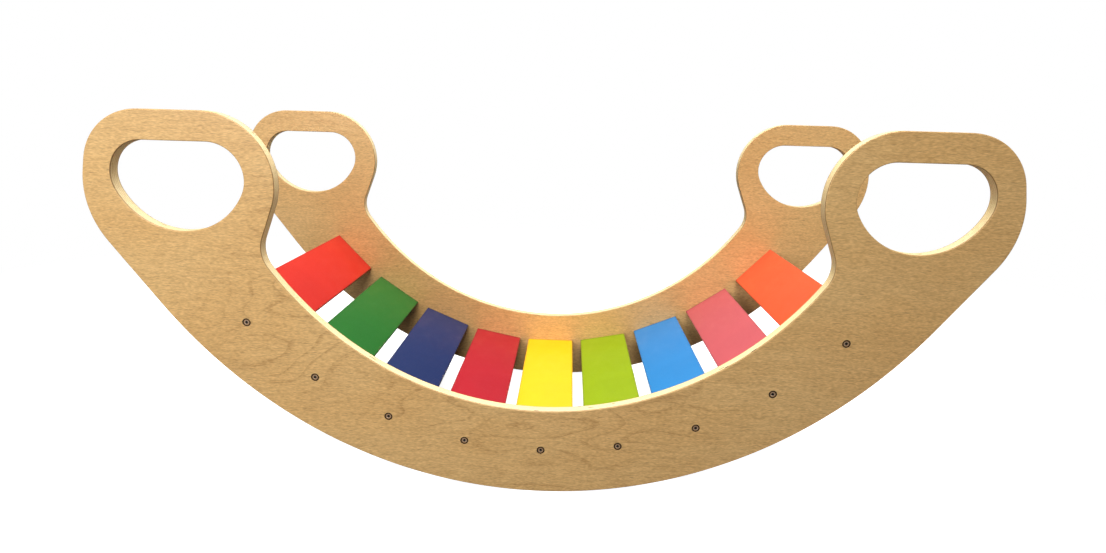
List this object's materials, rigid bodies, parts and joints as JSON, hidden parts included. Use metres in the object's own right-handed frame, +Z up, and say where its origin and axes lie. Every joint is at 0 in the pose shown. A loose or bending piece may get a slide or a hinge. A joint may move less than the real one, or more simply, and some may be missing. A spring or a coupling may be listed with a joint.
{
  "type": "seesaw",
  "caption": "Wooden rocking seesaw for children: two crescent plywood sides with hand loops at their ends, joined by flat painted slats that form a curved seat.",
  "frame": {"origin": "on the floor, midway along the seesaw and midway between the two side panels, where the rocker arcs touch the floor at rest", "axes": "+X along the seesaw towards the orange slat, +Y across it towards the back panel, +Z up"},
  "size_m": [1.1128, 0.414, 0.48],
  "materials": {
    "birch_plywood": "clear satin lacquer over birch face veneer, pale ply layers on the cut edges",
    "beech_dowel": "bare, fluted",
    "screw_steel": "zinc plated",
    "paint_red": "smooth satin paint on plywood, eased edges",
    "paint_green": "smooth satin paint on plywood, eased edges",
    "paint_navy": "smooth satin paint on plywood, eased edges",
    "paint_crimson": "smooth satin paint on plywood, eased edges",
    "paint_yellow": "smooth satin paint on plywood, eased edges",
    "paint_lime": "smooth satin paint on plywood, eased edges",
    "paint_sky_blue": "smooth satin paint on plywood, eased edges",
    "paint_coral_pink": "smooth satin paint on plywood, eased edges",
    "paint_orange": "smooth satin paint on plywood, eased edges"
  },
  "bodies": {
    "root": {"front_side_panel": "birch_plywood", "back_side_panel": "birch_plywood", "slat_1_red": "paint_red", "slat_2_green": "paint_green", "slat_3_navy": "paint_navy", "slat_4_crimson": "paint_crimson", "slat_5_yellow": "paint_yellow", "slat_6_lime": "paint_lime", "slat_7_sky_blue": "paint_sky_blue", "slat_8_coral_pink": "paint_coral_pink", "slat_9_orange": "paint_orange", "front_screw_1": "screw_steel", "front_screw_2": "screw_steel", "front_screw_3": "screw_steel", "front_screw_4": "screw_steel", "front_screw_5": "screw_steel", "front_screw_6": "screw_steel", "front_screw_7": "screw_steel", "front_screw_8": "screw_steel", "front_screw_9": "screw_steel", "front_dowel_1": "beech_dowel", "front_dowel_2": "beech_dowel", "front_dowel_3": "beech_dowel", "front_dowel_4": "beech_dowel", "front_dowel_5": "beech_dowel", "front_dowel_6": "beech_dowel", "front_dowel_7": "beech_dowel", "front_dowel_8": "beech_dowel", "front_dowel_9": "beech_dowel", "back_screw_1": "screw_steel", "back_screw_2": "screw_steel", "back_screw_3": "screw_steel", "back_screw_4": "screw_steel", "back_screw_5": "screw_steel", "back_screw_6": "screw_steel", "back_screw_7": "screw_steel", "back_screw_8": "screw_steel", "back_screw_9": "screw_steel", "back_dowel_1": "beech_dowel", "back_dowel_2": "beech_dowel", "back_dowel_3": "beech_dowel", "back_dowel_4": "beech_dowel", "back_dowel_5": "beech_dowel", "back_dowel_6": "beech_dowel", "back_dowel_7": "beech_dowel", "back_dowel_8": "beech_dowel", "back_dowel_9": "beech_dowel"}
  },
  "joints": []
}
